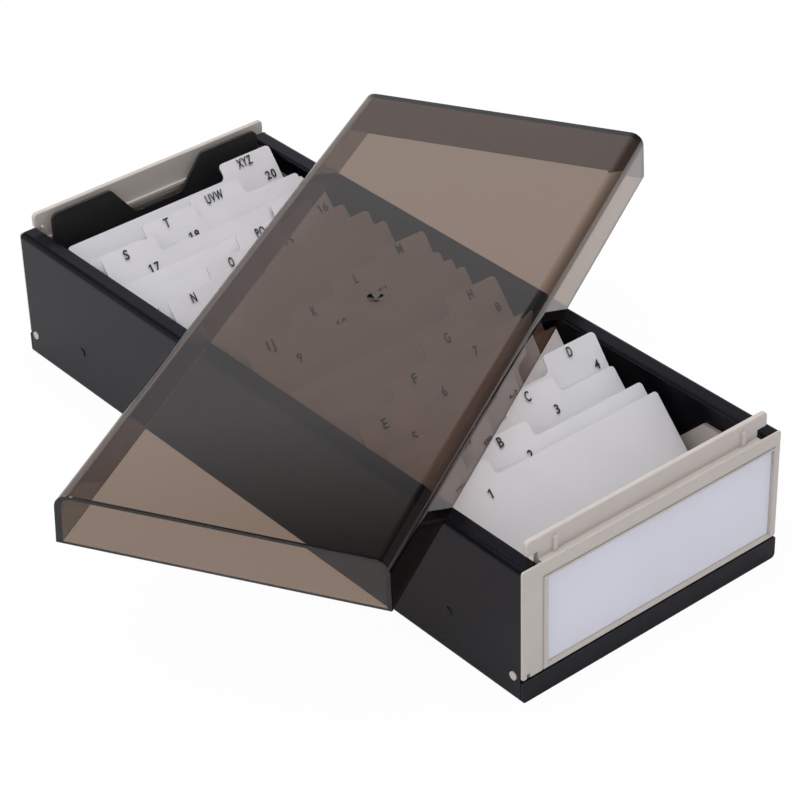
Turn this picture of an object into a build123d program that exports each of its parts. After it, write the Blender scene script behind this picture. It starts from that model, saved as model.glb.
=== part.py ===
from build123d import *
import math
import os

os.makedirs("parts", exist_ok=True)

# Millimetres. X runs across the box, Y along it with the label end at -Y, Z is up.
# The origin is the middle of the floor's underside.

# Folded steel tray
box_length = 283.0
box_width = 118.0
rim_height = 53.7
sheet = 0.9
rim_fold_radius = 2.2
floor_bend_radius = 1.6
ledge_width = 7.4
hem_width = 4.2
lip_height = 8.8
lip_corner_radius = 0.8
peg_inset = 4.4
peg_height = 9.5
peg_radius = 1.6
peg_hole_clearance = 0.3
dimple_inset = 36.4
dimple_height = 17.1
dimple_radius = 2.0
dimple_depth = 0.4
dimple_slope = 50

# End cap
cap_clearance = 0.2
cap_setback = 0.2
cap_face_thickness = 3.0
cap_edge_setback = 0.1
cap_face_corner = 1.0
cap_edge_softness = 0.4
cap_top_drop = 0.3
lip_clearance = 0.4
cap_floor_gap = 0.3
skirt_thickness = 2.2
skirt_corner = 1.0
flange_setback = 2.9
flange_thickness = 2.0
flange_side_gap = 3.3
flange_rise = 8.0
flange_root = 6.7
flange_corner_radius = 1.8
flange_edge_softness = 0.6
wing_gap = 2.5
wing_corner_radius = 0.8
ledge_pocket_side = 1.8
ledge_pocket_below = 0.5
cap_skin = 0.7
cap_skin_gap = 0.2
outer_rib_inset = 11.9
outer_rib_width = 1.6
outer_rib_depth = 0.9
outer_rib_height = 5.7
inner_rib_drop = 3.7
inner_rib_size = 1.2
frame_left_border = 8.6
frame_top_border = 5.2
frame_groove_width = 1.0
frame_groove_depth = 0.4
recess_left_border = 11.4
recess_right_border = 2.5
recess_bottom_border = 1.4
recess_top_border = 7.0
recess_depth = 1.7
recess_sill_slope = 0.8
foot_notch_inset = 2.0
foot_notch_width = 1.6
foot_notch_height = 2.1
cheek_thickness = 1.5
cheek_bottom = 2.0
cheek_drop = 14.1
cheek_top_length = 34.0
cheek_foot_height = 4.6
cheek_corner_radius = 3.0

# Label card and its clear cover
label_clearance = 0.3
label_card_thickness = 0.4
label_cover_thickness = 0.6

# Lid, as it lies in the photograph: turned aside on the two rims
lid_side_setback = 1.45
lid_end_overhang = 0.25
lid_height = 18.7
lid_wall = 2.0
lid_draft = 0.57
lid_edge_radius = 5.0
lid_turn = -60.22
lid_centre_x = -7.27
lid_centre_y = -8.25
gate_radius = 3.2
gate_depth = 1.1
gate_pip_radius = 0.7
gate_pip_height = 0.5
gate_pip_root = 0.2

# Sliding backing plate at the far end
follower_end_gap = 7.3
follower_thickness = 1.2
follower_side_gap = 2.8
follower_rise = 7.3
follower_corner_radius = 3.0
notch_top_width = 43.0
notch_floor_width = 22.0
notch_depth = 13.5
notch_floor_radius = 4.0
follower_foot_length = 22.0
follower_foot_inset = 10.8
follower_bend_radius = 1.0

# Index guides: twenty tabbed sheets in five sets of four tab places.
# Set starts and steps, and how far some loose sheets have slid from their places, are
# shares of the way from the first guide's foot to the last one's.
tab_places = 4
guide_side_gap = 2.0
guide_rise = 10.9
tab_height = 6.5
tab_gap = 0.6
guide_thickness = 0.6
guide_corner_radius = 1.5
tab_corner_radius = 1.8
tab_root_radius = 2.0
guide_floor_gap = 0.05
first_foot_gap = 6.4
last_tab_gap = 5.96
set_starts = (0.0, 0.18906, 0.48575, 0.69275, 0.88134)
set_steps = (0.04232, 0.0644, 0.0322, 0.04784, 0.03956)
set_leans = (39.5, 39.5, 37.5, 38.0, 39.0)
loose_guide = 4
loose_guide_start = 0.15226
loose_guide_lean = 37.0
slid_guides = {2: -0.007, 3: 0.015, 7: -0.010, 12: -0.009, 19: -0.0235}
tab_to_lid_wall = 1.5
tab_under_lid_wall = 0.8
guide_to_guide = 1.0

half_length = box_length / 2
half_width = box_width / 2
inner_half_width = half_width - sheet
ledge_inner_x = half_width - ledge_width
ledge_underside = rim_height - 2 * sheet
peg_y = half_length - peg_inset
dimple_y = half_length - dimple_inset
wall_end_y = half_length - cap_setback - cap_skin - cap_skin_gap
hem_radius = 0.95 * sheet


# The upturned lip across the front end, with corners that follow the tray's folds
with BuildPart() as front_lip:
    with BuildSketch(Plane.YZ) as lip_section:
        with Locations((lip_height / 2 - half_length, sheet / 2)):
            Rectangle(lip_height, sheet)
        with Locations((sheet / 2 - half_length, lip_height / 2)):
            Rectangle(sheet, lip_height)
        bend_outer = lip_section.vertices().filter_by(
            lambda v: v.Y < 0.01 and v.X < 0.01 - half_length
        )
        fillet(bend_outer, floor_bend_radius)
        bend_inner = lip_section.vertices().filter_by(
            lambda v: abs(v.Y - sheet) < 0.01 and abs(v.X + half_length - sheet) < 0.01
        )
        fillet(bend_inner, floor_bend_radius - sheet)
    extrude(amount=half_width, both=True)
    with BuildSketch(Plane.XZ.offset(half_length)) as lip_outline:
        with Locations((0, lip_height / 2)):
            Rectangle(box_width, lip_height)
        fillet(lip_outline.vertices().group_by(Axis.Y)[0], floor_bend_radius)
        fillet(lip_outline.vertices().group_by(Axis.Y)[-1], lip_corner_radius)
    extrude(amount=-lip_height, mode=Mode.INTERSECT)

# The tray: floor and two walls folded in to hemmed ledges, joined to a lip at each end.
# The walls and ledges stop behind the caps' thin front skins.
with BuildPart() as tray:
    with BuildSketch(Plane.XZ) as tray_section:
        with Locations((0, rim_height / 2)):
            Rectangle(box_width, rim_height)
            Rectangle(
                2 * inner_half_width,
                rim_height - 2 * sheet,
                mode=Mode.SUBTRACT,
            )
        with Locations((0, rim_height)):
            Rectangle(2 * ledge_inner_x, rim_height, mode=Mode.SUBTRACT)
        for side in (-1, 1):
            with Locations((side * (ledge_inner_x + hem_width / 2), rim_height - sheet)):
                Rectangle(hem_width, 2 * sheet)
        outer = tray_section.vertices().filter_by(lambda v: abs(abs(v.X) - half_width) < 0.01)
        fillet(outer.filter_by(lambda v: v.Y > rim_height / 2), rim_fold_radius)
        outer = tray_section.vertices().filter_by(lambda v: abs(abs(v.X) - half_width) < 0.01)
        fillet(outer.sort_by(Axis.Y)[:2], floor_bend_radius)
        inner = tray_section.vertices().filter_by(
            lambda v: abs(abs(v.X) - inner_half_width) < 0.01
        )
        fillet(inner.filter_by(lambda v: v.Y > rim_height / 2), rim_fold_radius - sheet)
        inner = tray_section.vertices().filter_by(
            lambda v: abs(abs(v.X) - inner_half_width) < 0.01
        )
        fillet(inner.sort_by(Axis.Y)[:2], floor_bend_radius - sheet)
        hem = tray_section.vertices().filter_by(lambda v: abs(abs(v.X) - ledge_inner_x) < 0.01)
        fillet(hem, hem_radius)
    extrude(amount=wall_end_y, both=True)
    add(front_lip.part)
    add(front_lip.part.rotate(Axis.Z, 180))
    with BuildSketch(Plane.YZ) as peg_holes:
        with Locations((-peg_y, peg_height), (peg_y, peg_height)):
            Circle(peg_radius + peg_hole_clearance)
    extrude(amount=half_width + sheet, both=True, mode=Mode.SUBTRACT)
    # Dimples pressed outward
    for side in (-1, 1):
        wall_inner = Plane((side * inner_half_width, 0, 0), x_dir=(0, 1, 0), z_dir=(side, 0, 0))
        wall_outer = Plane((side * half_width, 0, 0), x_dir=(0, 1, 0), z_dir=(side, 0, 0))
        rise = side * dimple_height
        with BuildSketch(wall_outer) as bumps:
            with Locations((-dimple_y, rise), (dimple_y, rise)):
                Circle(dimple_radius)
        extrude(amount=dimple_depth, taper=dimple_slope)
        with BuildSketch(wall_inner) as hollows:
            with Locations((-dimple_y, rise), (dimple_y, rise)):
                Circle(dimple_radius)
        extrude(amount=dimple_depth, taper=dimple_slope, mode=Mode.SUBTRACT)
tray.part.label = "tray"
export_step(tray.part, "parts/tray.step")


cap_half_width = inner_half_width - cap_clearance
cap_front_y = -(half_length - cap_setback)
cap_top = rim_height - cap_top_drop
flange_width = 2 * (cap_half_width - flange_side_gap)
flange_top = rim_height + flange_rise
flange_foot = rim_height - flange_root
outer_rib_x = flange_width / 2 - outer_rib_inset
cheek_top = rim_height - cheek_drop
flange_y = cap_front_y + flange_setback - cap_setback
pocket_x = ledge_inner_x - ledge_pocket_side
face_bottom = lip_height + lip_clearance
skirt_front_y = -(half_length - sheet - cap_floor_gap)
skirt_bottom = sheet + cap_floor_gap
skin_half_width = half_width - cap_edge_setback
frame_left = frame_left_border - skin_half_width
frame_top = cap_top - frame_top_border
recess_left = recess_left_border - skin_half_width
recess_right = skin_half_width - recess_right_border
recess_bottom = face_bottom + recess_bottom_border
recess_top = cap_top - recess_top_border

# The front end cap: framed label face, upright flange, and a cheek along each wall
with BuildPart() as front_end_cap:
    with BuildSketch(Plane.XZ.offset(-cap_front_y)) as face:
        with Locations((0, (face_bottom + cap_top) / 2)):
            Rectangle(2 * cap_half_width, cap_top - face_bottom)
    extrude(amount=-cap_face_thickness)
    with BuildSketch(Plane.XZ.offset(-cap_front_y)) as skin:
        with Locations((0, (face_bottom + cap_top) / 2)):
            RectangleRounded(2 * skin_half_width, cap_top - face_bottom, cap_face_corner)
    extrude(amount=-cap_skin)
    front_outline = front_end_cap.faces().sort_by(Axis.Y)[0].outer_wire().edges()
    fillet(front_outline, cap_edge_softness)
    with BuildSketch(Plane.XZ.offset(-skirt_front_y)) as skirt:
        with Locations((0, (skirt_bottom + face_bottom + sheet) / 2)):
            Rectangle(2 * cap_half_width, face_bottom + sheet - skirt_bottom)
        chamfer(skirt.vertices().group_by(Axis.Y)[0], skirt_corner)
    extrude(amount=-skirt_thickness)
    with BuildSketch(Plane.XZ.offset(-flange_y)) as flange:
        with Locations((0, (cap_top + wing_gap + flange_top) / 2)):
            Rectangle(flange_width, flange_top - cap_top - wing_gap)
        with Locations((0, (flange_foot + flange_top) / 2)):
            Rectangle(2 * pocket_x, flange_top - flange_foot)
        fillet(flange.vertices().group_by(Axis.Y)[-1], flange_corner_radius)
        wing_ends = flange.vertices().filter_by(
            lambda v: abs(abs(v.X) - flange_width / 2) < 0.01 and v.Y < cap_top + wing_gap + 0.01
        )
        fillet(wing_ends, wing_corner_radius)
    extrude(amount=-flange_thickness)
    flange_edges = front_end_cap.edges().filter_by(Axis.X).filter_by(
        lambda e: e.center().Z > flange_top - 0.01
    )
    fillet(flange_edges, flange_edge_softness)
    # Pockets that clear the ledges behind a thin front skin
    for side in (-1, 1):
        with BuildSketch(Plane.XY.offset(ledge_underside - ledge_pocket_below)) as pocket:
            pocket_width = half_width - pocket_x
            pocket_mid_y = cap_front_y + cap_skin + lip_height / 2
            with Locations((side * (pocket_x + pocket_width / 2), pocket_mid_y)):
                Rectangle(pocket_width, lip_height)
        extrude(amount=cap_top + wing_gap - ledge_underside + ledge_pocket_below, mode=Mode.SUBTRACT)
    with BuildSketch(Plane.XZ.offset(-flange_y)) as outer_ribs:
        with Locations(
            (-outer_rib_x, cap_top + outer_rib_height / 2),
            (outer_rib_x, cap_top + outer_rib_height / 2),
        ):
            Rectangle(outer_rib_width, outer_rib_height)
    extrude(amount=outer_rib_depth)
    with BuildSketch(Plane.XZ.offset(-(flange_y + flange_thickness))) as inner_rib:
        with Locations((0, rim_height - inner_rib_drop)):
            Rectangle(2 * pocket_x, inner_rib_size)
    extrude(amount=-inner_rib_size)
    # The label's recess with a sloped sill, and the groove that frames it on two sides
    with BuildSketch(Plane.XZ.offset(-cap_front_y)) as label_recess:
        with Locations(((recess_left + recess_right) / 2, (recess_bottom + recess_top) / 2)):
            Rectangle(recess_right - recess_left, recess_top - recess_bottom)
    extrude(amount=-recess_depth, mode=Mode.SUBTRACT)
    sill = front_end_cap.edges().filter_by(Axis.X).filter_by(
        lambda e: abs(e.center().Z - recess_bottom) < 0.01
    )
    chamfer(sill.sort_by(Axis.Y)[0], recess_sill_slope)
    with BuildSketch(Plane.XZ.offset(-cap_front_y)) as frame_groove:
        with Locations((frame_left + frame_groove_width / 2, (face_bottom + frame_top) / 2)):
            Rectangle(frame_groove_width, frame_top - face_bottom)
        with Locations(((frame_left + recess_right) / 2, frame_top - frame_groove_width / 2)):
            Rectangle(recess_right - frame_left, frame_groove_width)
    extrude(amount=-frame_groove_depth, mode=Mode.SUBTRACT)
    # The small notch in the face's lower edge
    foot_notch_x = foot_notch_inset + foot_notch_width / 2 - skin_half_width
    with BuildSketch(Plane.XZ.offset(-cap_front_y)) as foot_notch:
        with Locations((foot_notch_x, face_bottom + foot_notch_height / 2)):
            Rectangle(foot_notch_width, foot_notch_height)
    extrude(amount=-recess_depth, mode=Mode.SUBTRACT)
    # Cheeks with their pegs
    cheek_start = cap_front_y + cap_face_thickness / 2
    cheek_shoulder = cap_front_y + cheek_top_length
    cheek_end = cheek_shoulder + cheek_top - cheek_foot_height
    for side in (-1, 1):
        cheek_plane = Plane(
            (side * cap_half_width, 0, 0), x_dir=(0, 1, 0), z_dir=(side, 0, 0)
        )
        with BuildSketch(cheek_plane) as cheek:
            with BuildLine():
                Polyline(
                    (cheek_start, side * cheek_bottom),
                    (cheek_start, side * cheek_top),
                    (cheek_shoulder, side * cheek_top),
                    (cheek_end, side * cheek_foot_height),
                    (cheek_end, side * cheek_bottom),
                    close=True,
                )
            make_face()
            rounded = cheek.vertices().filter_by(lambda v: v.X > cheek_start + 1)
            fillet(
                rounded.filter_by(lambda v: abs(v.Y) > cheek_bottom + 0.5), cheek_corner_radius
            )
        extrude(amount=-cheek_thickness)
        with BuildSketch(cheek_plane) as peg:
            with Locations((-peg_y, side * peg_height)):
                Circle(peg_radius)
        extrude(amount=cap_clearance + sheet + cap_floor_gap)
front_end_cap.part.label = "front_end_cap"
export_step(front_end_cap.part, "parts/front_end_cap.step")

# The rear end cap is the same moulding, turned round
with BuildPart() as rear_end_cap:
    add(front_end_cap.part.rotate(Axis.Z, 180))
rear_end_cap.part.label = "rear_end_cap"
export_step(rear_end_cap.part, "parts/rear_end_cap.step")


label_width = recess_right - recess_left - 2 * label_clearance
label_height = recess_top - recess_bottom - 2 * label_clearance
label_middle = ((recess_left + recess_right) / 2, (recess_bottom + recess_top) / 2)
label_back_y = cap_front_y + recess_depth

# The front label card, flat against the back of the recess
with BuildPart() as front_label_card:
    with BuildSketch(Plane.XZ.offset(-label_back_y)) as card:
        with Locations(label_middle):
            Rectangle(label_width, label_height)
    extrude(amount=label_card_thickness)
front_label_card.part.label = "front_label_card"
export_step(front_label_card.part, "parts/front_label_card.step")

# The clear cover over it
with BuildPart() as front_label_cover:
    with BuildSketch(Plane.XZ.offset(label_card_thickness - label_back_y)) as cover:
        with Locations(label_middle):
            Rectangle(label_width, label_height)
    extrude(amount=label_cover_thickness)
front_label_cover.part.label = "front_label_cover"
export_step(front_label_cover.part, "parts/front_label_cover.step")

# The same pair at the rear
with BuildPart() as rear_label_card:
    add(front_label_card.part.rotate(Axis.Z, 180))
rear_label_card.part.label = "rear_label_card"
export_step(rear_label_card.part, "parts/rear_label_card.step")

with BuildPart() as rear_label_cover:
    add(front_label_cover.part.rotate(Axis.Z, 180))
rear_label_cover.part.label = "rear_label_cover"
export_step(rear_label_cover.part, "parts/rear_label_cover.step")


# The lid: a shallow clear cover with two rounded long edges and two flat ends
lid_width = box_width - 2 * lid_side_setback
lid_length = box_length + 2 * lid_end_overhang
lid_angle = math.radians(lid_turn)
lid_across = (math.cos(lid_angle), math.sin(lid_angle), 0)
lid_plane = Plane((lid_centre_x, lid_centre_y, rim_height), x_dir=lid_across, z_dir=(0, 0, 1))
gate_sphere_radius = (gate_radius**2 + gate_depth**2) / (2 * gate_depth)
with BuildPart() as lid:
    with BuildSketch(lid_plane) as lid_outline:
        Rectangle(lid_width, lid_length)
    extrude(amount=lid_height, taper=math.degrees(math.atan(lid_draft / lid_height)))
    long_edges = lid.edges().group_by(Axis.Z)[-1].sort_by(SortBy.LENGTH)[-2:]
    fillet(long_edges, lid_edge_radius)
    offset(amount=-lid_wall, openings=lid.faces().sort_by(Axis.Z)[0])
    # The gate mark: a shallow round dish with a pip in its middle
    with Locations(lid_plane.offset(lid_height - gate_depth + gate_sphere_radius)):
        Sphere(gate_sphere_radius, mode=Mode.SUBTRACT)
    with BuildSketch(lid_plane.offset(lid_height - gate_depth - gate_pip_root)) as gate_pip:
        Circle(gate_pip_radius)
    extrude(amount=gate_pip_root + gate_pip_height)
lid.part.label = "lid"
export_step(lid.part, "parts/lid.step")


follower_y = half_length - follower_end_gap
follower_width = 2 * (ledge_inner_x - follower_side_gap)
follower_top = rim_height + follower_rise
follower_foot_width = follower_width - 2 * follower_foot_inset
notch_floor = follower_top - notch_depth

# The follower: a notched upright plate on a foot that slides along the floor
with BuildPart() as follower:
    with BuildSketch(Plane.XZ.offset(-follower_y)) as follower_plate:
        with Locations((0, (sheet + follower_top) / 2)):
            Rectangle(follower_width, follower_top - sheet)
        with BuildLine():
            Polyline(
                (-notch_floor_width / 2, notch_floor),
                (-notch_top_width / 2, follower_top),
                (notch_top_width / 2, follower_top),
                (notch_floor_width / 2, notch_floor),
                close=True,
            )
        make_face(mode=Mode.SUBTRACT)
        top_corners = follower_plate.vertices().group_by(Axis.Y)[-1]
        fillet(top_corners, follower_corner_radius)
        floor_corners = follower_plate.vertices().filter_by(
            lambda v: abs(v.Y - notch_floor) < 0.01
        )
        fillet(floor_corners, notch_floor_radius)
    extrude(amount=follower_thickness)
    with BuildSketch(Plane.YZ) as follower_foot:
        with Locations((follower_y - follower_foot_length / 2, sheet + follower_thickness / 2)):
            Rectangle(follower_foot_length, follower_thickness)
    extrude(amount=follower_foot_width / 2, both=True)
    bend = follower.edges().filter_by(Axis.X).filter_by(
        lambda e: abs(e.center().Y - follower_y + follower_thickness) < 0.01
    )
    fillet(
        bend.filter_by(lambda e: abs(e.center().Z - sheet - follower_thickness) < 0.01),
        follower_bend_radius,
    )
follower.part.label = "follower"
export_step(follower.part, "parts/follower.step")


guide_width = 2 * (ledge_inner_x - guide_side_gap)
guide_body_height = rim_height + guide_rise
guide_full_height = guide_body_height + tab_height
foot_level = sheet + guide_floor_gap
tab_pitch = guide_width / tab_places
first_foot_y = first_foot_gap - half_length
last_reach = guide_full_height * math.sin(math.radians(set_leans[-1]))
last_foot_y = follower_y - follower_thickness - last_tab_gap - last_reach
foot_run = last_foot_y - first_foot_y
pressed_height = rim_height - tab_under_lid_wall - foot_level
pressed_lean = math.degrees(math.acos(pressed_height / guide_full_height))
least_lean = math.degrees(math.acos(pressed_height / guide_body_height))


def tab_meets_lid_wall(left, right, foot_y, lean):
    """True if the part of a tab above the rims comes near a long wall of the lid."""
    angle = math.radians(lean)
    rim_reach = (rim_height - foot_level) / math.cos(angle)
    if rim_reach >= guide_full_height:
        return False
    low_y = foot_y + (rim_reach - guide_thickness) * math.sin(angle)
    high_y = foot_y + guide_full_height * math.sin(angle)
    across = []
    for x in (left, right):
        for y in (low_y, high_y):
            offset_x = (x - lid_centre_x) * lid_across[0]
            offset_y = (y - lid_centre_y) * lid_across[1]
            across.append(offset_x + offset_y)
    outer = lid_width / 2 + tab_to_lid_wall
    inner = lid_width / 2 - lid_wall - tab_to_lid_wall
    near_right = min(across) < outer and max(across) > inner
    near_left = max(across) > -outer and min(across) < -inner
    return near_right or near_left


# The index guides: each leans back, further under the lid's wall and behind a low neighbour
front_top_y = first_foot_y
front_top_z = foot_level + guide_full_height
for number in range(1, tab_places * len(set_starts) + 1):
    place = (number - 1) % tab_places
    set_number = (number - 1) // tab_places
    start = set_starts[set_number] + place * set_steps[set_number]
    lean = set_leans[set_number]
    if number == loose_guide:
        start = loose_guide_start
        lean = loose_guide_lean
    start = start + slid_guides.get(number, 0.0)
    foot_y = first_foot_y + start * foot_run
    tab_left = -guide_width / 2 + place * tab_pitch
    tab_right = tab_left + tab_pitch
    if place > 0:
        tab_left = tab_left + tab_gap / 2
    if place < tab_places - 1:
        tab_right = tab_right - tab_gap / 2
    if tab_meets_lid_wall(tab_left, tab_right, foot_y, lean):
        lean = pressed_lean
    clear_y = front_top_y + guide_to_guide - foot_y
    clear_lean = math.degrees(math.atan2(clear_y, front_top_z - foot_level))
    lean = max(lean, least_lean, clear_lean)
    angle = math.radians(lean)
    front_top_y = foot_y + guide_full_height * math.sin(angle)
    front_top_z = foot_level + guide_full_height * math.cos(angle)
    foot_z = foot_level + guide_thickness * math.sin(angle)
    facing = (0, -math.cos(angle), math.sin(angle))
    guide_plane = Plane((0, foot_y, foot_z), x_dir=(1, 0, 0), z_dir=facing)
    with BuildPart() as guide:
        with BuildSketch(guide_plane) as outline:
            with Locations((0, guide_body_height / 2)):
                Rectangle(guide_width, guide_body_height)
            with Locations(((tab_left + tab_right) / 2, guide_full_height / 2)):
                Rectangle(tab_right - tab_left, guide_full_height)
            fillet(outline.vertices().group_by(Axis.Y)[-1], tab_corner_radius)
            shoulders = outline.vertices().filter_by(
                lambda v: abs(v.Y - guide_body_height) < 0.01
            )
            roots = shoulders.filter_by(lambda v: abs(v.X) < guide_width / 2 - 0.01)
            fillet(roots, tab_root_radius)
            corners = outline.vertices().filter_by(
                lambda v: abs(v.Y - guide_body_height) < 0.01
                and abs(v.X) > guide_width / 2 - 0.01
            )
            fillet(corners, guide_corner_radius)
        extrude(amount=-guide_thickness)
    guide.part.label = f"guide_{number:02d}"
    export_step(guide.part, f"parts/guide_{number:02d}.step")
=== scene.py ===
# %% [markdown]
# A card file box, dressed for its picture
#
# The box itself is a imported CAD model: a folded steel tray, two moulded end caps, a smoke
# coloured lid, a backing plate and twenty tabbed guides. This lesson keeps every CAD surface
# as it is and adds what drawing in CAD leaves out: paint, moulded plastic, clear smoke
# plastic, printed index marks, a floor to stand on and soft light to be seen by.
# All lengths are in metres, in the same frame as the CAD model.

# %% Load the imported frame
import math

import bpy
import numpy as np
from mathutils import Matrix, Vector


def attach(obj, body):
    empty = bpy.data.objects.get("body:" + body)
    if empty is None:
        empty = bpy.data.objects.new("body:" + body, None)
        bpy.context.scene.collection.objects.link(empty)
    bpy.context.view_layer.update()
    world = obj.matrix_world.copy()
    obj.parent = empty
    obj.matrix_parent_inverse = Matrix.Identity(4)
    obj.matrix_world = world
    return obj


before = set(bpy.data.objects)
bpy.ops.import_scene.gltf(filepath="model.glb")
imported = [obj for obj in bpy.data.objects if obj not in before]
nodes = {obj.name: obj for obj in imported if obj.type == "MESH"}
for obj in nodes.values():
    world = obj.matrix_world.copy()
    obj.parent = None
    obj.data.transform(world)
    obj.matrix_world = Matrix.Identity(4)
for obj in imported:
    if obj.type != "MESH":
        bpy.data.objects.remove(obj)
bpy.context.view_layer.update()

# %% [markdown]
# The camera
#
# A product photograph is a measurement: the corners of the box and of the lid fix where the
# lens stood. The place, the two angles and the small roll below come from such a fit, so a
# point of the model lands within a pixel or two of the same point of the photograph. The
# camera could be aimed by a constraint, but a plain matrix keeps it exact and unchanging.

# %% Place the camera
MM = 0.001
camera_azimuth = math.radians(-39.29)
camera_elevation = math.radians(34.29)
camera_roll = math.radians(-1.70)
camera_distance = 1014.84 * MM
camera_target = Vector((-2.77, -14.55, 30.0)) * MM
focal_pixels = 2832.96
image_pixels = 800
sensor_width = 36.0

away = Vector((
    math.sin(camera_azimuth) * math.cos(camera_elevation),
    -math.cos(camera_azimuth) * math.cos(camera_elevation),
    math.sin(camera_elevation),
))
level_right = Vector((math.cos(camera_azimuth), math.sin(camera_azimuth), 0.0))
level_up = away.cross(level_right).normalized()
right = math.cos(camera_roll) * level_right + math.sin(camera_roll) * level_up
up = math.cos(camera_roll) * level_up - math.sin(camera_roll) * level_right

lens = bpy.data.cameras.new("camera")
lens.sensor_width = sensor_width
lens.lens = focal_pixels * sensor_width / image_pixels
camera = bpy.data.objects.new("camera", lens)
bpy.context.scene.collection.objects.link(camera)
turn = Matrix((right, up, away)).transposed().to_4x4()
camera.matrix_world = Matrix.Translation(camera_target + camera_distance * away) @ turn
bpy.context.scene.camera = camera
bpy.context.scene.view_settings.view_transform = "Standard"
print("lens", round(lens.lens, 2), "mm at", [round(v, 3) for v in camera.location])


# %% [markdown]
# Node helpers
#
# Every finish is a small node tree. A few helpers keep the trees readable: one adds a node
# and sets its inputs by name, others place a sum, a ramp or a choice between two shaders,
# and one starts a material with its Principled shader.

# %% Helpers for node trees
def add_node(tree, kind, **inputs):
    """Adds a node of that kind to the tree. A number or colour sets an input, and a socket
    of another node is linked to it."""
    node = tree.nodes.new(kind)
    for name, value in inputs.items():
        socket = node.inputs[name.replace("_", " ")]
        if isinstance(value, bpy.types.NodeSocket):
            tree.links.new(value, socket)
        else:
            socket.default_value = value
    return node


def combine(tree, operation, first, second):
    """A socket with the two values put together by a maths operation. Each value is a number
    or a socket."""
    node = tree.nodes.new("ShaderNodeMath")
    node.operation = operation
    for place, value in enumerate((first, second)):
        if isinstance(value, bpy.types.NodeSocket):
            tree.links.new(value, node.inputs[place])
        else:
            node.inputs[place].default_value = value
    return node.outputs[0]


def ramp(tree, value, start, end, low=0.0, high=1.0):
    """A socket that goes from low to high while the value goes from start to end."""
    node = add_node(tree, "ShaderNodeMapRange", Value=value)
    node.inputs["From Min"].default_value = start
    node.inputs["From Max"].default_value = end
    node.inputs["To Min"].default_value = low
    node.inputs["To Max"].default_value = high
    return node.outputs[0]


def choose_shader(tree, factor, first, second):
    """The first shader where the factor is 0, the second where it is 1."""
    node = tree.nodes.new("ShaderNodeMixShader")
    if isinstance(factor, bpy.types.NodeSocket):
        tree.links.new(factor, node.inputs[0])
    else:
        node.inputs[0].default_value = factor
    tree.links.new(first.outputs[0], node.inputs[1])
    tree.links.new(second.outputs[0], node.inputs[2])
    return node


def object_place(tree):
    """The object coordinate's socket."""
    return tree.nodes.new("ShaderNodeTexCoord").outputs["Object"]


def new_finish(name):
    """An empty material with its output and a Principled shader, already linked."""
    material = bpy.data.materials.new(name)
    material.use_nodes = True
    tree = material.node_tree
    tree.nodes.clear()
    output = tree.nodes.new("ShaderNodeOutputMaterial")
    shader = tree.nodes.new("ShaderNodeBsdfPrincipled")
    tree.links.new(shader.outputs[0], output.inputs["Surface"])
    return material, tree, shader, output


def paint(node_name, material):
    """Puts a material in each slot of a CAD node's object."""
    for slot in nodes[node_name].material_slots:
        slot.material = material


# %% [markdown]
# Two shared effects
#
# Paint, moulded plastic and plastic sheet all show a fine relief, and the black paint and
# the backing plate gather a little dust where they face up. Each effect is a node group, built
# once and placed in the
# materials with its own numbers. The grain is noise at two sizes. The dust is broad noise,
# kept to faces that look up by the normal's height.

# %% The grain group
broad_over_fine = 0.04


def build_grain():
    """Height = coarse noise times its share, plus fine noise times the rest. Tone is the
    coarse noise alone, for slow changes of colour and gloss."""
    group = bpy.data.node_groups.new("surface_grain", "ShaderNodeTree")
    face = group.interface
    face.new_socket("Size", in_out="INPUT", socket_type="NodeSocketFloat")
    face.new_socket("Coarse Share", in_out="INPUT", socket_type="NodeSocketFloat")
    face.new_socket("Height", in_out="OUTPUT", socket_type="NodeSocketFloat")
    face.new_socket("Tone", in_out="OUTPUT", socket_type="NodeSocketFloat")
    start = group.nodes.new("NodeGroupInput")
    end = group.nodes.new("NodeGroupOutput")
    place = object_place(group)
    size = start.outputs["Size"]
    fine = add_node(group, "ShaderNodeTexNoise", Vector=place, Scale=size, Detail=2.0)
    broad_size = combine(group, "MULTIPLY", size, broad_over_fine)
    broad = add_node(group, "ShaderNodeTexNoise", Vector=place, Scale=broad_size, Detail=3.0)
    blend = group.nodes.new("ShaderNodeMix")
    group.links.new(start.outputs["Coarse Share"], blend.inputs["Factor"])
    group.links.new(fine.outputs["Fac"], blend.inputs[2])
    group.links.new(broad.outputs["Fac"], blend.inputs[3])
    group.links.new(blend.outputs[0], end.inputs["Height"])
    group.links.new(broad.outputs["Fac"], end.inputs["Tone"])
    return group


grain_group = build_grain()


# %% The dust group
speck_size = 900.0
speck_threshold = (0.62, 0.74)
least_upward = 0.2


def build_dust():
    """Mask = noise raised past a threshold, times how far the face looks up, times Amount."""
    group = bpy.data.node_groups.new("settled_dust", "ShaderNodeTree")
    face = group.interface
    face.new_socket("Amount", in_out="INPUT", socket_type="NodeSocketFloat")
    face.new_socket("Mask", in_out="OUTPUT", socket_type="NodeSocketFloat")
    start = group.nodes.new("NodeGroupInput")
    end = group.nodes.new("NodeGroupOutput")
    place = object_place(group)
    specks = add_node(group, "ShaderNodeTexNoise", Vector=place, Scale=speck_size, Detail=4.0)
    chosen = ramp(group, specks.outputs["Fac"], *speck_threshold)
    normal = group.nodes.new("ShaderNodeNewGeometry").outputs["Normal"]
    height = add_node(group, "ShaderNodeSeparateXYZ", Vector=normal)
    facing = ramp(group, height.outputs["Z"], least_upward, 1.0)
    both = combine(group, "MULTIPLY", chosen, facing)
    amount = combine(group, "MULTIPLY", both, start.outputs["Amount"])
    group.links.new(amount, end.inputs["Mask"])
    return group


dust_group = build_dust()


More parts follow.
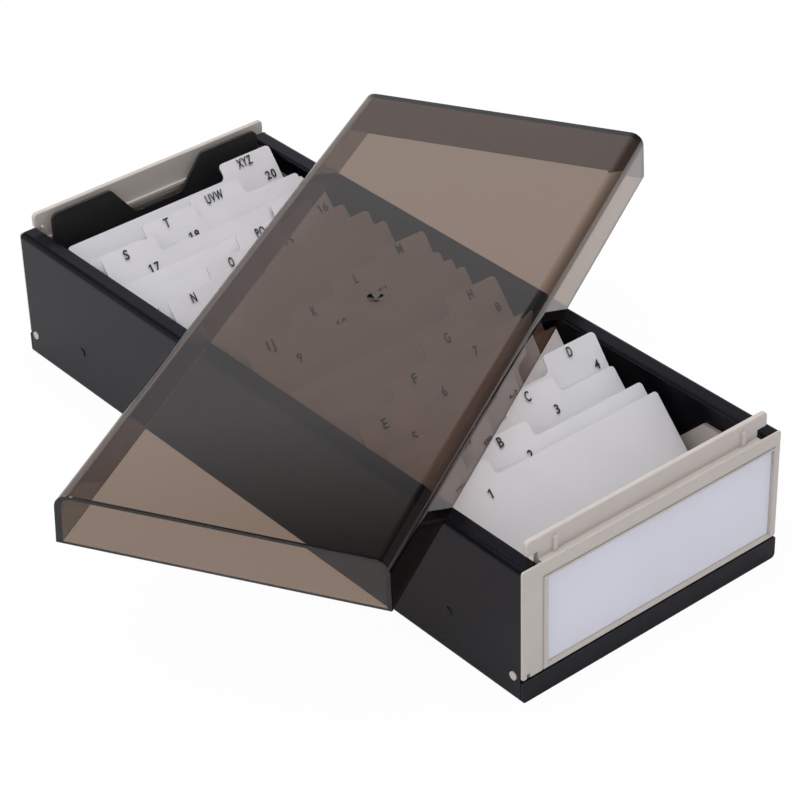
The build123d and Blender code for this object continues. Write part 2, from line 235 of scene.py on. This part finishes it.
# %% Place the groups in a finish
def give_grain(tree, shader, size, coarse_share, strength, depth):
    """Links a bump from the grain group to the shader and returns the slow tone socket."""
    grain = tree.nodes.new("ShaderNodeGroup")
    grain.node_tree = grain_group
    grain.inputs["Size"].default_value = size
    grain.inputs["Coarse Share"].default_value = coarse_share
    height = grain.outputs["Height"]
    bump = add_node(tree, "ShaderNodeBump", Height=height, Strength=strength, Distance=depth)
    tree.links.new(bump.outputs["Normal"], shader.inputs["Normal"])
    return grain.outputs["Tone"]


tone_span = (0.3, 0.7)


def vary(tree, tone, low, high):
    """Maps the slow tone, which stays near one half, on to a range of values."""
    return ramp(tree, tone, *tone_span, low, high)


def blend_colours(tree, factor, first, second):
    """A colour between first and second by a factor socket."""
    mix = tree.nodes.new("ShaderNodeMix")
    mix.data_type = "RGBA"
    tree.links.new(factor, mix.inputs["Factor"])
    for index, colour in ((6, first), (7, second)):
        if isinstance(colour, bpy.types.NodeSocket):
            tree.links.new(colour, mix.inputs[index])
        else:
            mix.inputs[index].default_value = (*colour, 1.0)
    return mix.outputs[2]


dust_colour = (0.55, 0.53, 0.5)


def dusted(tree, colour, amount):
    """The colour with settled dust mixed over it."""
    dust = tree.nodes.new("ShaderNodeGroup")
    dust.node_tree = dust_group
    dust.inputs["Amount"].default_value = amount
    return blend_colours(tree, dust.outputs["Mask"], colour, dust_colour)


# %% [markdown]
# Opaque finishes
#
# The tray is satin black paint on sheet steel: nearly black, with a soft reflection that a
# very shallow ripple breaks up. The caps are pale beige moulded plastic with a fine matt
# grain. The backing plate is black with a duller gloss. The label is smooth card.

# %% Paint, moulded plastic and card
def solid_finish(
    name, pale, deep, gloss_low, gloss_high, grain, dust=0.0, shine=0.5, sheen=(1.0, 1.0, 1.0)
):
    """A Principled finish whose colour and roughness wander slowly between two values. Shine
    is the strength of its reflection and sheen that reflection's colour. Grain is its size,
    coarse share, strength and depth."""
    material, tree, shader, _ = new_finish(name)
    tone = give_grain(tree, shader, *grain)
    colour = blend_colours(tree, vary(tree, tone, 0.0, 1.0), deep, pale)
    if dust:
        colour = dusted(tree, colour, dust)
    tree.links.new(colour, shader.inputs["Base Color"])
    tree.links.new(vary(tree, tone, gloss_low, gloss_high), shader.inputs["Roughness"])
    shader.inputs["Specular IOR Level"].default_value = shine
    shader.inputs["Specular Tint"].default_value = (*sheen, 1.0)
    return material


black_paint = solid_finish(
    "black_steel", pale=(0.0055, 0.0055, 0.0070), deep=(0.0042, 0.0042, 0.0054),
    gloss_low=0.24, gloss_high=0.30, grain=(700.0, 0.5, 0.10, 0.0001),
    dust=0.02, shine=0.165, sheen=(0.74, 0.76, 1.0),
)
beige_plastic = solid_finish(
    "beige_plastic", pale=(0.540, 0.492, 0.462), deep=(0.520, 0.472, 0.442),
    gloss_low=0.42, gloss_high=0.52, grain=(2600.0, 0.2, 0.35, 0.00008),
)
black_plate = solid_finish(
    "black_plate", pale=(0.020, 0.018, 0.018), deep=(0.016, 0.015, 0.015),
    gloss_low=0.45, gloss_high=0.55, grain=(1800.0, 0.3, 0.3, 0.00008), dust=0.35,
)
label_card = solid_finish(
    "label_paper", pale=(0.78, 0.78, 0.875), deep=(0.76, 0.76, 0.85),
    gloss_low=0.55, gloss_high=0.62, grain=(1500.0, 0.3, 0.1, 0.00005),
)
paint("tray", black_paint)
for cap in ("front_end_cap", "rear_end_cap"):
    paint(cap, beige_plastic)
paint("follower", black_plate)
for card in ("front_label_card", "rear_label_card"):
    paint(card, label_card)
print("opaque finishes ready")

# %% [markdown]
# The label's clear cover
#
# A clear film lies over the card. It could be glass, but its back touches the card, and a
# thin film hardly bends light. A nearly transparent surface with a soft gloss is enough.

# %% Clear film
clear_film, tree, shader, _ = new_finish("clear_film")
film_tint = (0.9, 0.9, 0.95, 1.0)
film_cover = 0.12
shader.inputs["Base Color"].default_value = film_tint
shader.inputs["Alpha"].default_value = film_cover
tone = give_grain(tree, shader, size=300.0, coarse_share=0.6, strength=0.08, depth=0.00005)
tree.links.new(vary(tree, tone, 0.2, 0.32), shader.inputs["Roughness"])
for cover in ("front_label_cover", "rear_label_cover"):
    paint(cover, clear_film)

# %% [markdown]
# Smoke plastic
#
# The lid is clear plastic with a brown-grey dye. Light that crosses a wall keeps less than a
# quarter of its strength, so two walls look far darker than one. The dye is set as the glass
# colour, which tints once for each wall. On top of that, painted shade darkens the tint along
# the two rounded long edges, standing in for the longer path of light where the eye looks
# along the wall instead of through it, and painted shade darkens it a little in the two end
# walls.
# Light Path lets lamps shine through with a milder tint, so what lies below the lid is
# still lit.

# %% The lid's own frame, for the painted edge shade
lid_turn = math.radians(-60.22)
lid_centre = Vector((-7.27, -8.25, 0.0)) * MM
lid_half_width = 57.55 * MM
lid_half_length = 141.75 * MM
lid_top = 72.4 * MM
side_reach = 5.0 * MM
end_reach = 2.0 * MM
edge_shade_depth = (6.5 * MM, 4.5 * MM)
full_share = 0.3


def lid_edge_mask(tree, reach, half_size, axis):
    """Mask for painted shade: 1 at the lid's edge along one of its own axes, 0 further in than
    reach: the object coordinate is moved to the lid's centre and turned back by its angle, and
    its size ramps up over the outer reach."""
    own = add_node(tree, "ShaderNodeMapping", Vector=object_place(tree))
    own.vector_type = "TEXTURE"
    own.inputs["Location"].default_value = lid_centre
    own.inputs["Rotation"].default_value = (0.0, 0.0, lid_turn)
    parts = add_node(tree, "ShaderNodeSeparateXYZ", Vector=own.outputs[0])
    size = tree.nodes.new("ShaderNodeMath")
    size.operation = "ABSOLUTE"
    tree.links.new(parts.outputs[axis], size.inputs[0])
    return ramp(tree, size.outputs[0], half_size - reach, half_size - full_share * reach)


# %% Smoke plastic material
smoke_plastic, tree, shader, output = new_finish("smoke_plastic")
smoke_through = (0.245, 0.175, 0.136)
# Painted shade: the next two tints are painted darker near the lid's end walls and along its
# rounded long edges, standing in for the longer path of light through the wall there.
end_painted_shade = (0.192, 0.135, 0.102)
edge_painted_shade = (0.070, 0.040, 0.026)
smoke_for_lamps = (0.80, 0.74, 0.70)
plastic_index = 1.49
# Painted shade masks: side and end pick the long edges and the end walls, and near_top keeps
# the edge shade to the rounded top.
side = lid_edge_mask(tree, side_reach, lid_half_width, "X")
end = lid_edge_mask(tree, end_reach, lid_half_length, "Y")
lid_place = add_node(tree, "ShaderNodeSeparateXYZ", Vector=object_place(tree))
near_top = ramp(tree, lid_place.outputs["Z"], lid_top - edge_shade_depth[0], lid_top - edge_shade_depth[1])
edge_shade_mask = combine(tree, "MULTIPLY", side, near_top)
smoke = blend_colours(tree, end, smoke_through, end_painted_shade)
smoke = blend_colours(tree, edge_shade_mask, smoke, edge_painted_shade)
tree.links.new(smoke, shader.inputs["Base Color"])
shader.inputs["Transmission Weight"].default_value = 1.0
shader.inputs["IOR"].default_value = plastic_index
tone = give_grain(tree, shader, size=60.0, coarse_share=0.5, strength=0.015, depth=0.0001)
tree.links.new(vary(tree, tone, 0.0, 0.012), shader.inputs["Roughness"])
passing = add_node(tree, "ShaderNodeBsdfTransparent", Color=(*smoke_for_lamps, 1.0))
rays = tree.nodes.new("ShaderNodeLightPath")
either = combine(tree, "MAXIMUM", rays.outputs["Is Shadow Ray"], rays.outputs["Is Diffuse Ray"])
surface = choose_shader(tree, either, shader, passing)
tree.links.new(surface.outputs[0], output.inputs["Surface"])
paint("lid", smoke_plastic)
print("smoke plastic ready")

# %% [markdown]
# Guide sheets
#
# The guides are thin white plastic sheets, a little translucent, so that a sheet with light
# behind it glows and no shadow is quite black. A share of the surface is a Translucent
# shader, and the rest is a soft white with a faint mottle.

# %% White sheet material
white_sheet, tree, shader, output = new_finish("white_sheet")
sheet_pale = (0.77, 0.76, 0.79)
sheet_deep = (0.74, 0.73, 0.765)
glow_share = 0.18
tone = give_grain(tree, shader, size=1200.0, coarse_share=0.3, strength=0.12, depth=0.00005)
sheet_colour = blend_colours(tree, vary(tree, tone, 0.0, 1.0), sheet_deep, sheet_pale)
tree.links.new(sheet_colour, shader.inputs["Base Color"])
tree.links.new(vary(tree, tone, 0.42, 0.5), shader.inputs["Roughness"])
glow = add_node(tree, "ShaderNodeBsdfTranslucent", Color=sheet_colour)
surface = choose_shader(tree, glow_share, shader, glow)
tree.links.new(surface.outputs[0], output.inputs["Surface"])
guide_names = [f"guide_{number:02d}" for number in range(1, 21)]
for name in guide_names:
    paint(name, white_sheet)

# %% [markdown]
# Index marks
#
# Each tab carries a letter and, lower on the sheet, its number. They are print, so they are
# a hair thick and lie on the sheet. Real text outlines are made a mesh first, pressed
# narrow like a condensed type, and then carried on to the guide's front face. The numeral
# one gets a small flag, because the typeface draws it as a bare bar.

# %% Measure a guide's front face
front_limit = -0.3


def front_face(node_name):
    """Middle of the sheet's top edge on the front face, and its right, up and out
    directions. The largest triangles that look to the front give the normal."""
    mesh = nodes[node_name].data
    normals = np.empty(len(mesh.polygons) * 3)
    areas = np.empty(len(mesh.polygons))
    mesh.polygons.foreach_get("normal", normals)
    mesh.polygons.foreach_get("area", areas)
    normals = normals.reshape(-1, 3)
    faces_front = normals[:, 1] < front_limit
    out = (normals[faces_front] * areas[faces_front, None]).sum(axis=0)
    out = out / np.linalg.norm(out)
    across = np.array((1.0, 0.0, 0.0))
    rise = np.cross(out, across)
    points = np.empty(len(mesh.vertices) * 3)
    mesh.vertices.foreach_get("co", points)
    points = points.reshape(-1, 3)
    middle = rise * (points @ rise).max() + out * (points @ out).max()
    return middle, across, rise, out


# %% Make the marks
letter_height = 3.7 * MM
number_height = 3.4 * MM
letter_squeeze = 0.74
pair_squeeze = 0.95
word_squeeze = 0.62
number_squeeze = 0.94
letter_width = 2.1 * MM
letter_below_top = 2.6 * MM
number_below_top = 11.1 * MM
tab_places = 4
first_letter_x = -39.33 * MM
first_number_x = -30.7 * MM
tab_step = 25.15 * MM
ink_thickness = 0.03 * MM
stroke_gain = 0.018
letter_gap = 1.15
pair_gap = 1.45
flag_width = 0.17
flag_drop = 0.15
flag_stroke = 0.10
flag_overlap = 0.01
half_depth = 0.5
curve_steps = 5


def text_points(text):
    """The text's outline as a thin closed mesh: its points in text units and its faces.
    Every numeral one gets a flag, because the plain typeface draws it as a bare bar."""
    points, faces = plain_text(text)
    points = points.tolist()
    for place, sign in enumerate(text):
        if sign != "1":
            continue
        before = plain_text(text[:place + 1])[0]
        whole = np.array(points)[:, 0]
        bar_left = whole.min() + np.ptp(before[:, 0]) - np.ptp(plain_text("1")[0][:, 0])
        top = before[:, 1].max()
        corners = (
            (flag_overlap, 0.0), (flag_overlap, -flag_stroke),
            (-flag_width, -flag_drop - flag_stroke), (-flag_width, -flag_drop),
        )
        first = len(points)
        for depth in (-half_depth, half_depth):
            points.extend((bar_left + x, top + y, depth) for x, y in corners)
        back = tuple(range(first + 3, first - 1, -1))
        front = tuple(range(first + 4, first + 8))
        faces = faces + [tuple(reversed(back)), tuple(reversed(front))]
        for k in range(4):
            after = (k + 1) % 4
            faces.append((first + k, first + k + 4, first + after + 4, first + after))
    return np.array(points), faces


def plain_text(text):
    """Points and faces of the text in Blender's own typeface."""
    curve = bpy.data.curves.new("mark", "FONT")
    curve.body = text
    curve.align_x = "CENTER"
    curve.offset = stroke_gain
    curve.space_character = pair_gap if text == "IJ" else letter_gap
    curve.extrude = half_depth
    curve.resolution_u = curve_steps
    holder = bpy.data.objects.new("mark", curve)
    mesh = bpy.data.meshes.new_from_object(holder)
    points = np.empty(len(mesh.vertices) * 3)
    mesh.vertices.foreach_get("co", points)
    faces = [tuple(polygon.vertices) for polygon in mesh.polygons]
    bpy.data.objects.remove(holder)
    bpy.data.curves.remove(curve)
    bpy.data.meshes.remove(mesh)
    return points.reshape(-1, 3), faces


capital_height = np.ptp(plain_text("H")[0][:, 1])
print("capital height", round(float(capital_height), 3), "text units")


def squeeze_for(text):
    """How far a mark is pressed narrow. As in a condensed type, most letters come out equally
    wide: squeeze = that width over the letter's own width."""
    if text.isdigit():
        return number_squeeze
    if text == "IJ":
        return pair_squeeze
    if len(text) > 1:
        return word_squeeze
    if text in "LMT":
        return letter_squeeze
    own_width = np.ptp(plain_text(text)[0][:, 0]) * letter_height / capital_height
    return letter_width / own_width


def mark_on(node_name, text, height, centre_x, below_top):
    """Places the text on the guide: across = centre + squeezed text x, up = below the top
    edge, out = a hair proud of the face."""
    points, faces = text_points(text)
    squeeze = squeeze_for(text)
    middle, across, rise, out = front_face(node_name)
    scale = height / capital_height
    text_middle = points[:, 0].min() + np.ptp(points[:, 0]) / 2
    x = centre_x + (points[:, 0] - text_middle) * scale * squeeze
    y = (points[:, 1] - capital_height / 2) * scale - below_top
    z = points[:, 2] / half_depth * ink_thickness
    placed = middle + x[:, None] * across + y[:, None] * rise + z[:, None] * out
    return placed, faces


# %% Ink
ink, tree, shader, _ = new_finish("ink")
ink_deep = (0.012, 0.012, 0.014)
ink_pale = (0.022, 0.021, 0.023)
tone = give_grain(tree, shader, size=2500.0, coarse_share=0.4, strength=0.1, depth=0.00004)
ink_colour = blend_colours(tree, vary(tree, tone, 0.0, 1.0), ink_deep, ink_pale)
tree.links.new(ink_colour, shader.inputs["Base Color"])
shader.inputs["Roughness"].default_value = 0.5

# %% One mesh of marks for each guide
letters = "A B C D E F G H IJ K L M N O PQ R S T UVW XYZ".split()
for number, name in enumerate(guide_names, start=1):
    place = (number - 1) % tab_places
    letter_at = first_letter_x + place * tab_step
    number_at = first_number_x + place * tab_step
    letter = letters[number - 1]
    letter_points, letter_faces = mark_on(
        name, letter, letter_height, letter_at, letter_below_top
    )
    number_points, number_faces = mark_on(
        name, str(number), number_height, number_at, number_below_top
    )
    shift = len(letter_points)
    mesh = bpy.data.meshes.new(f"{name}_marks")
    all_points = np.vstack((letter_points, number_points))
    all_faces = letter_faces + [tuple(i + shift for i in face) for face in number_faces]
    mesh.from_pydata(all_points.tolist(), [], all_faces)
    mesh.materials.append(ink)
    marks = bpy.data.objects.new(f"{name}_marks", mesh)
    bpy.context.scene.collection.objects.link(marks)
    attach(marks, name)
print("marks on", len(guide_names), "guides")

# %% [markdown]
# Floor and light
#
# The photograph shows plain white all round. The floor is a pale plane that camera and glass
# see almost white by itself, with enough plain diffuse left to keep the soft shadow under the
# box. Gloss rays see a painted reflection of it: more of its own white towards the back and
# less towards the front, painted shade standing in for the lid's shadow on the near floor. The
# world does the same for the background and gives even fill. In
# reflections it is bright low down and dark overhead and to the right, as in a studio with
# black cards there. Two large lamps shape the object: one overhead, one low at the left.

# %% Floor
floor_half_size = 6.0
floor_mesh = bpy.data.meshes.new("floor")
signs = ((-1, -1), (1, -1), (1, 1), (-1, 1))
corners = [(x * floor_half_size, y * floor_half_size, 0.0) for x, y in signs]
floor_mesh.from_pydata(corners, [], [(0, 1, 2, 3)])
floor = bpy.data.objects.new("floor", floor_mesh)
bpy.context.scene.collection.objects.link(floor)


def seen_directly(tree, camera_share, gloss_share, glass_share):
    """How far camera, glossy and transmission rays see the plain background, and 0 for the
    rays that carry light between surfaces."""
    rays = tree.nodes.new("ShaderNodeLightPath")
    by_camera = combine(tree, "MULTIPLY", rays.outputs["Is Camera Ray"], camera_share)
    by_gloss = combine(tree, "MULTIPLY", rays.outputs["Is Glossy Ray"], gloss_share)
    by_glass = combine(tree, "MULTIPLY", rays.outputs["Is Transmission Ray"], glass_share)
    return combine(tree, "MAXIMUM", combine(tree, "MAXIMUM", by_camera, by_gloss), by_glass)


# Painted reflection and shade: gloss rays see more of the floor's own white at the back than at
# the front, so the paint mirrors the far floor brighter than the near floor
near_y, far_y = -0.12, 0.16
near_painted_gloss, far_painted_gloss = 0.05, 0.40
camera_share = 0.96
glass_share = 0.9
floor_white, tree, shader, output = new_finish("floor_white")
shader.inputs["Base Color"].default_value = (0.85, 0.85, 0.86, 1.0)
shader.inputs["Roughness"].default_value = 1.0
shader.inputs["Specular IOR Level"].default_value = 0.0
own_white = add_node(tree, "ShaderNodeEmission", Strength=1.0)
floor_place = add_node(tree, "ShaderNodeSeparateXYZ", Vector=object_place(tree))
gloss_share = ramp(tree, floor_place.outputs["Y"], near_y, far_y, near_painted_gloss, far_painted_gloss)
own_share = seen_directly(tree, camera_share, gloss_share, glass_share)
surface = choose_shader(tree, own_share, shader, own_white)
tree.links.new(surface.outputs[0], output.inputs["Surface"])
floor_mesh.materials.append(floor_white)

# %% World
world = bpy.data.worlds.new("studio")
bpy.context.scene.world = world
world.use_nodes = True
tree = world.node_tree
tree.nodes.clear()
world_fill = 0.5
sky_bend = (0.565, 0.61)
low_sky, high_sky = 0.8, 0.1
right_bend = (0.6, 0.85)
right_share = 0.25
white = (1.0, 1.0, 1.0, 1.0)
mirrored_white = (0.93, 0.95, 1.0, 1.0)
fill = add_node(tree, "ShaderNodeBackground", Color=white, Strength=world_fill)
backdrop = add_node(tree, "ShaderNodeBackground", Color=white, Strength=1.0)
toward = tree.nodes.new("ShaderNodeTexCoord").outputs["Generated"]
direction = add_node(tree, "ShaderNodeSeparateXYZ", Vector=toward)
sky = ramp(tree, direction.outputs["Z"], *sky_bend, low_sky, high_sky)
dark_right = ramp(tree, direction.outputs["X"], *right_bend, 1.0, right_share)
gloss_sky = combine(tree, "MULTIPLY", sky, dark_right)
mirrored = add_node(tree, "ShaderNodeBackground", Color=mirrored_white, Strength=gloss_sky)
gloss_rays = tree.nodes.new("ShaderNodeLightPath").outputs["Is Glossy Ray"]
seen = choose_shader(tree, gloss_rays, backdrop, mirrored)
background = choose_shader(tree, seen_directly(tree, 1.0, 1.0, 1.0), fill, seen)
world_output = tree.nodes.new("ShaderNodeOutputWorld")
tree.links.new(background.outputs[0], world_output.inputs["Surface"])


# %% Lamps
def soft_lamp(name, place, aim, size, power):
    """A square area lamp at a place, turned so that its face looks at the aim point."""
    lamp = bpy.data.lights.new(name, "AREA")
    lamp.shape = "SQUARE"
    lamp.size = size
    lamp.energy = power
    holder = bpy.data.objects.new(name, lamp)
    bpy.context.scene.collection.objects.link(holder)
    holder.location = place
    holder.rotation_euler = (Vector(aim) - Vector(place)).to_track_quat("-Z", "Y").to_euler()


soft_lamp("overhead", place=(-0.1, 0.02, 1.3), aim=(0.0, 0.0, 0.0), size=1.2, power=13.4)
soft_lamp("left_side", place=(-1.1, -0.5, 0.7), aim=(0.0, 0.0, 0.03), size=0.8, power=2.6)
print("lamps ready")
